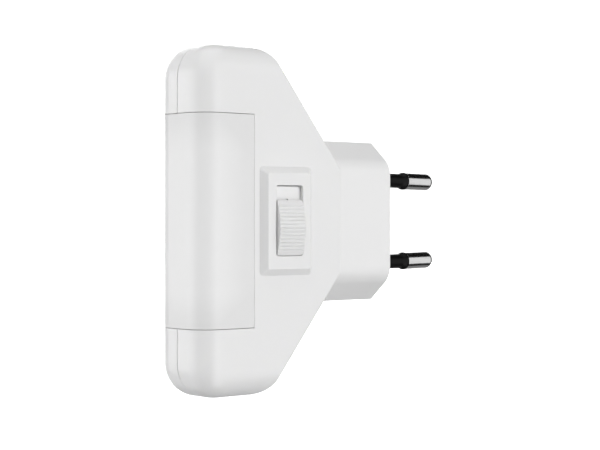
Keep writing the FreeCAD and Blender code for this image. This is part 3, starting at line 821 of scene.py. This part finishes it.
@dataclass
class LightCover(Assembly):
    """The frosted cover wrapped round the housing's front edge."""

    node: str = "diffuser"
    open_tone: Colour = grey(0.808)
    # Darker tone painted as shade towards the cover's rear edge and ends.
    painted_shade_tone: Colour = grey(0.74)
    visible_depth: float = 13.9 * MM
    half_height: float = 22.3 * MM

    def finishes(self) -> dict[str, Finish]:
        """Finish of the cover.

        Returns:
            Frosted plastic, with its painted shade fitted to the cover's visible rim and ends.
        """
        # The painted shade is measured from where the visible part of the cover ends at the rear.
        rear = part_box(self.node)[0].y + self.visible_depth
        tones = (self.open_tone, self.painted_shade_tone)
        return {self.node: FrostedCover("cover_plastic", *tones, rear, self.half_height)}


@dataclass
class Plug(Assembly):
    """Six sided plug body with two plated pins in black sleeves."""

    body: str = "plug_body"
    pins: tuple[str, str] = ("upper_pin", "lower_pin")
    sleeves: tuple[str, str] = ("upper_pin_sleeve", "lower_pin_sleeve")
    tone: Colour = grey(0.8)

    def finishes(self) -> dict[str, Finish]:
        """Finish of each of its nodes.

        Returns:
            Plastic for the body, nickel for the pins and black for the sleeves.
        """
        nickel = TurnedMetal("pin_nickel", grey(0.65), 0.19)
        insulation = InsulatingSleeve("sleeve_black")
        chosen: dict[str, Finish] = {
            self.body: MouldedPlastic("plug_plastic", self.tone, scatter=0.15)
        }
        chosen |= {pin: nickel for pin in self.pins}
        return chosen | {sleeve: insulation for sleeve in self.sleeves}


@dataclass
class SlideSwitch(Assembly):
    """Grooved knob with the small switch beneath it."""

    knob: str = "switch_knob"
    panel: str = "switch_side_shell"
    knob_tone: Colour = grey(0.76)
    knob_roughness: float = 0.34
    knob_scatter: float = 0.6
    groove_edge: float = 0.06 * MM
    phenolic: Colour = (0.30, 0.16, 0.07, 1.0)
    silver: Colour = grey(0.75, 0.05)

    def grip(self) -> Finish:
        """Finish of the knob.

        Returns:
            Grip plastic, fitted to the slot's mouth at the top of the panel.
        """
        return GripPlastic(
            "knob_plastic",
            self.knob_tone,
            self.knob_roughness,
            Grain.POLISHED,
            scatter=self.knob_scatter,
            edge=self.groove_edge,
            mouth=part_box(self.panel)[1].x,
        )

    def finishes(self) -> dict[str, Finish]:
        """Finish of each of its nodes.

        Returns:
            Grip plastic for the knob, and the switch's steel, phenolic, nylon and silver.
        """
        return {
            self.knob: self.grip(),
            "switch_can": TurnedMetal("switch_steel", grey(0.66), 0.28, along=(0.4, 0.4, 5.0)),
            "switch_base": MouldedPlastic(
                "switch_phenolic", self.phenolic, 0.5, Grain.FROSTED, mottle=0.1
            ),
            "switch_lever": MouldedPlastic("lever_nylon", grey(0.04), 0.4),
            "switch_terminals": TurnedMetal("terminal_silver", self.silver, 0.24),
            "switch_contact": TurnedMetal("contact_silver", self.silver, 0.22),
        }


class Paint(Enum):
    """Linear colours of the electrical parts inside."""

    BOARD = (0.03, 0.2, 0.07, 1.0)
    TRACK = (0.07, 0.33, 0.12, 1.0)
    FILM = (0.72, 0.5, 0.05, 1.0)
    CAN = (0.03, 0.03, 0.05, 1.0)
    FUSE = (0.45, 0.47, 0.48, 1.0)
    TAN = (0.72, 0.58, 0.38, 1.0)
    EPOXY = grey(0.03)
    BLACK = grey(0.02)
    GREY = grey(0.1)
    BROWN = (0.12, 0.05, 0.02, 1.0)
    GREEN = (0.05, 0.25, 0.08, 1.0)
    GOLD = (0.6, 0.42, 0.12, 1.0)
    LIVE_LEAD = (0.2, 0.08, 0.03, 1.0)
    NEUTRAL_LEAD = (0.03, 0.12, 0.5, 1.0)
    LAMP_LEAD = (0.5, 0.04, 0.03, 1.0)
    PACKAGE = (0.88, 0.87, 0.82, 1.0)
    PHOSPHOR = (0.9, 0.72, 0.12, 1.0)


def glossy(name: str, paint: Paint, roughness: float, scatter: float = 0.0) -> MouldedPlastic:
    """Smooth moulded plastic in one of the paints.

    Args:
        name: Name of the material.
        paint: Its colour.
        roughness: Its roughness.
        scatter: Share of light that goes in and comes out again.

    Returns:
        The finish.
    """
    return MouldedPlastic(name, paint.value, roughness, Grain.POLISHED, scatter=scatter)


@dataclass
class Driver(Assembly):
    """Driver board with its components, their solder joints and the leads from the pins."""

    board: str = "driver_board"
    resistor_height: float = 9.4 * MM
    soldered: tuple[str, ...] = ("fusible_resistor", "bleed_resistor", "switch_terminals")
    tail: float = 0.8 * MM
    tail_spacing: float = 1.5 * MM
    joint_height: float = 0.75 * MM
    joint_foot: float = 0.45 * MM
    joint_collar: float = 0.07 * MM
    joint_waist: float = 2.2
    joint_rings: int = 9
    fuse_bands: tuple[tuple[float, Paint], ...] = (
        (-1.6 * MM, Paint.BLACK),
        (0.0, Paint.GREY),
        (1.6 * MM, Paint.GOLD),
    )
    bleed_bands: tuple[tuple[float, Paint], ...] = (
        (-1.7 * MM, Paint.BROWN),
        (-0.6 * MM, Paint.BLACK),
        (0.5 * MM, Paint.GREEN),
        (1.8 * MM, Paint.GOLD),
    )

    def joint_profile(self) -> list[tuple[float, float]]:
        """Outline of a solder joint, wide on the board and waisted up to the lead.

        Returns:
            Spread beyond the lead and height above the board, ring by ring.
        """
        swell = self.joint_foot - self.joint_collar
        profile = []
        for ring in range(self.joint_rings):
            share = ring / (self.joint_rings - 1)
            spread = self.joint_collar + swell * (1 - share) ** self.joint_waist
            profile.append((spread, self.joint_height * share))
        return profile

    def build(self) -> list[bpy.types.Object]:
        """Make the solder joints where leads come through the board.

        Returns:
            The joints, as one piece.
        """
        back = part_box(self.board)[0].x
        profile = self.joint_profile()
        shape = bmesh.new()
        for node in self.soldered:
            tips = [place for place in corners(node) if place.x < back - self.tail]
            for low, high in gather(tips, self.tail_spacing):
                middle = (low + high) / 2
                seat = Vector((back, middle.y, middle.z))
                half = ((high.y - low.y) / 2, (high.z - low.z) / 2)
                add_turned(shape, seat, Vector((-1.0, 0.0, 0.0)), half, profile)
        solder = TurnedMetal("solder", grey(0.62), 0.3, along=(0.5, 0.5, 0.5)).make()
        joints = mesh_piece("solder_joints", shape, solder)
        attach(joints, "housing")
        return [joints]

    def banded(
        self, name: str, paint: Paint, middle: float, bands: tuple[tuple[float, Paint], ...]
    ) -> BandedLacquer:
        """Finish of a resistor.

        Args:
            name: Name of the material.
            paint: Colour of the body.
            middle: Height of the body's middle.
            bands: Place of each band above the middle, and its paint.

        Returns:
            The finish.
        """
        painted = tuple((place, band.value) for place, band in bands)
        return BandedLacquer(name, paint.value, middle, painted)

    def finishes(self) -> dict[str, Finish]:
        """Finish of each of its nodes.

        Returns:
            Lacquer for the board and resistors, and plastic for the rest.
        """
        fuse = self.banded("resistor_grey", Paint.FUSE, self.resistor_height, self.fuse_bands)
        bleed = self.banded("resistor_tan", Paint.TAN, -self.resistor_height, self.bleed_bands)
        epoxy = MouldedPlastic("rectifier_epoxy", Paint.EPOXY.value, 0.5, Grain.FROSTED)
        return {
            self.board: CircuitLacquer("board_green", Paint.BOARD.value, Paint.TRACK.value),
            "dropper_capacitor": glossy("film_capacitor", Paint.FILM, 0.28),
            "smoothing_capacitor": glossy("can_capacitor", Paint.CAN, 0.22),
            "fusible_resistor": fuse,
            "bleed_resistor": bleed,
            "bridge_rectifier": epoxy,
            "upper_pin_lead": glossy("lead_brown", Paint.LIVE_LEAD, 0.3),
            "lower_pin_lead": glossy("lead_blue", Paint.NEUTRAL_LEAD, 0.3),
        }


@dataclass
class LampStrip(Assembly):
    """Lamp board behind the cover, with its diodes, their windows and the leads."""

    diodes: str = "leds"
    window_radius: float = 1.08 * MM
    window_crown: float = 0.32 * MM
    window_turn: float = 84.0
    window_rings: int = 7
    well_spacing: float = 3.0 * MM
    least_well: float = 0.05 * MM
    level_play: float = 0.01 * MM
    board_tones: tuple[Colour, Colour] = (grey(0.84), grey(0.78))

    def window_profile(self, sunk: float) -> list[tuple[float, float]]:
        """Outline of a diode's window, straight up to the rim of its well and then domed.

        Args:
            sunk: Depth of the well.

        Returns:
            Radius and height above the well's floor, ring by ring.
        """
        profile = [(self.window_radius, 0.0)]
        for ring in range(self.window_rings):
            slope = math.radians(self.window_turn * ring / (self.window_rings - 1))
            rise = sunk + self.window_crown * math.sin(slope)
            profile.append((self.window_radius * math.cos(slope), rise))
        return profile

    def build(self) -> list[bpy.types.Object]:
        """Make the domed windows of the diodes, seated on the floors of their wells.

        Returns:
            The windows, as one piece.
        """
        places = corners(self.diodes)
        front = min(place.y for place in places)
        floor = min(place.y for place in places if place.y > front + self.least_well)
        wells = [place for place in places if abs(place.y - floor) < self.level_play]
        profile = self.window_profile(floor - front)
        shape = bmesh.new()
        for low, high in gather(wells, self.well_spacing):
            add_turned(shape, (low + high) / 2, Vector((0.0, -1.0, 0.0)), (0.0, 0.0), profile)
        phosphor = glossy("phosphor", Paint.PHOSPHOR, 0.22, scatter=0.5).make()
        windows = mesh_piece("diode_windows", shape, phosphor)
        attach(windows, "housing")
        return [windows]

    def finishes(self) -> dict[str, Finish]:
        """Finish of each of its nodes.

        Returns:
            White lacquer for the board and plastic for diodes and leads.
        """
        return {
            "led_board": CircuitLacquer("lamp_board_white", *self.board_tones),
            self.diodes: glossy("led_package", Paint.PACKAGE, 0.3),
            "led_leads": glossy("lead_red", Paint.LAMP_LEAD, 0.3),
        }


@dataclass(frozen=True)
class Softbox:
    """Flat soft light that faces the object.

    turn is the angle round the object from the camera, to the camera's right; rise is the
    angle above the floor. Both are in degrees, and sizes are in metres.
    """

    name: str
    turn: float
    rise: float
    width: float
    height: float
    watts: float
    distance: float = 1.0

    def build(self, target: Vector, camera_azimuth: float) -> bpy.types.Object:
        """Hang the light.

        Args:
            target: Point that it faces.
            camera_azimuth: Azimuth of the camera in degrees, 0 looking along +Y.

        Returns:
            The light.
        """
        azimuth, rise = math.radians(camera_azimuth + self.turn), math.radians(self.rise)
        level = math.cos(rise)
        out = Vector((math.sin(azimuth) * level, -math.cos(azimuth) * level, math.sin(rise)))
        data = bpy.data.lights.new(self.name, "AREA")
        data.shape = "RECTANGLE"
        data.size, data.size_y = self.width, self.height
        data.energy = self.watts
        lamp = bpy.data.objects.new(self.name, data)
        lamp.location = target + out * self.distance
        lamp.rotation_mode = "QUATERNION"
        lamp.rotation_quaternion = (-out).to_track_quat("-Z", "Y")
        lamp.visible_camera = False
        bpy.context.scene.collection.objects.link(lamp)
        return lamp


@dataclass
class Studio:
    """Plain pale floor and wall with soft lights, and the camera."""

    azimuth: float = 49.412
    distance: float = 351.65 * MM
    aim_depth: float = 33.45 * MM
    focal_pixels: float = 1593.2
    horizon_row: float = 221.05
    image: tuple[int, int] = (600, 450)
    sensor: float = 36.0
    nearest: float = 10 * MM
    radius: float = 2.5
    segments: int = 96
    wall_segments: int = 64
    ambient: float = 0.0
    # Each softbox is its name, turn, rise, width, height and watts.
    softboxes: tuple[Softbox, ...] = (
        Softbox("left_softbox", -78, 0, 1.16, 0.89, 8.57),
        Softbox("left_low", -93, -42, 1.49, 0.65, 2.07),
        Softbox("front_fill", -8, 0, 1.68, 0.89, 2.02),
        Softbox("front_high", -8, 42, 1.25, 0.65, 2.79),
        Softbox("right_softbox", 50, 0, 0.65, 1.06, 4.86),
        Softbox("side_softbox", 90, 0, 0.81, 1.06, 2.79),
        Softbox("right_high", 50, 45, 0.46, 0.61, 0.44),
        Softbox("right_low", 50, -45, 0.46, 0.61, 3.07),
        Softbox("table_bounce", 145, -44, 0.67, 0.57, 0.34),
        Softbox("rear_left", -166, 8, 0.90, 1.00, 5.00),
        Softbox("backdrop_glow", 180, 0, 1.40, 1.40, 3.70),
        Softbox("top_softbox", 0, 88, 0.90, 0.90, 4.60),
        Softbox("floor_bounce", 0, -88, 0.90, 0.90, 0.24),
    )

    def build(self) -> None:
        """Set up camera, lights, floor and wall."""
        self.place_camera()
        low, high = CAD_BOX
        target = (low + high) / 2
        for softbox in self.softboxes:
            softbox.build(target, self.azimuth)
        self.build_stage(low.z)
        self.build_world()

    def place_camera(self) -> None:
        """Put the camera where the photograph was taken from."""
        azimuth = math.radians(self.azimuth)
        back = Vector((math.sin(azimuth), -math.cos(azimuth), 0.0))
        aim = Vector((0.0, CAD_BOX[0].y + self.aim_depth, 0.0))
        data = bpy.data.cameras.new("catalogue_camera")
        data.sensor_width = self.sensor
        data.lens = self.focal_pixels / self.image[0] * self.sensor
        data.shift_y = (self.horizon_row - self.image[1] / 2) / self.image[0]
        data.clip_start, data.clip_end = self.nearest, 4 * self.radius
        camera = bpy.data.objects.new("catalogue_camera", data)
        camera.location = aim + back * self.distance
        camera.rotation_mode = "QUATERNION"
        camera.rotation_quaternion = (-back).to_track_quat("-Z", "Y")
        bpy.context.scene.collection.objects.link(camera)
        bpy.context.scene.camera = camera

    def build_stage(self, floor: float) -> None:
        """Make the floor and the round wall that curves over into a ceiling.

        Args:
            floor: Height of the floor.
        """
        white = GlowingWhite("studio_white").make()
        shape = bmesh.new()
        bmesh.ops.create_circle(
            shape, cap_ends=True, segments=self.segments, radius=self.radius
        )
        ground = mesh_piece("studio_floor", shape, white)
        ground.location.z = floor
        shape = bmesh.new()
        bmesh.ops.create_uvsphere(
            shape,
            u_segments=self.wall_segments,
            v_segments=self.wall_segments // 2,
            radius=self.radius,
        )
        wall = mesh_piece("studio_wall", shape, white)
        wall.location.z = floor
        for sheet in (ground, wall):
            sheet.visible_diffuse = False
            sheet.visible_glossy = False
            sheet.visible_transmission = False
            sheet.visible_shadow = False

    def build_world(self) -> None:
        """Leave the room to the softboxes alone and show colours as they are."""
        scene = bpy.context.scene
        world = bpy.data.worlds.new("studio_room")
        world.use_nodes = True
        background = world.node_tree.nodes["Background"]
        background.inputs["Color"].default_value = grey(1.0)
        background.inputs["Strength"].default_value = self.ambient
        scene.world = world
        scene.view_settings.view_transform = "Standard"
        scene.view_settings.look = "None"


def main() -> None:
    """Build and dress every sub-assembly in order."""
    logging.basicConfig(level=logging.INFO, format="%(message)s")
    Studio().build()
    for part in (Housing(), LightCover(), Plug(), SlideSwitch(), Driver(), LampStrip()):
        for piece in part.build() + part.dress():
            LOG.info("%s: %s, %d faces", type(part).__name__, piece.name, len(piece.data.polygons))


if __name__ == "__main__":
    main()
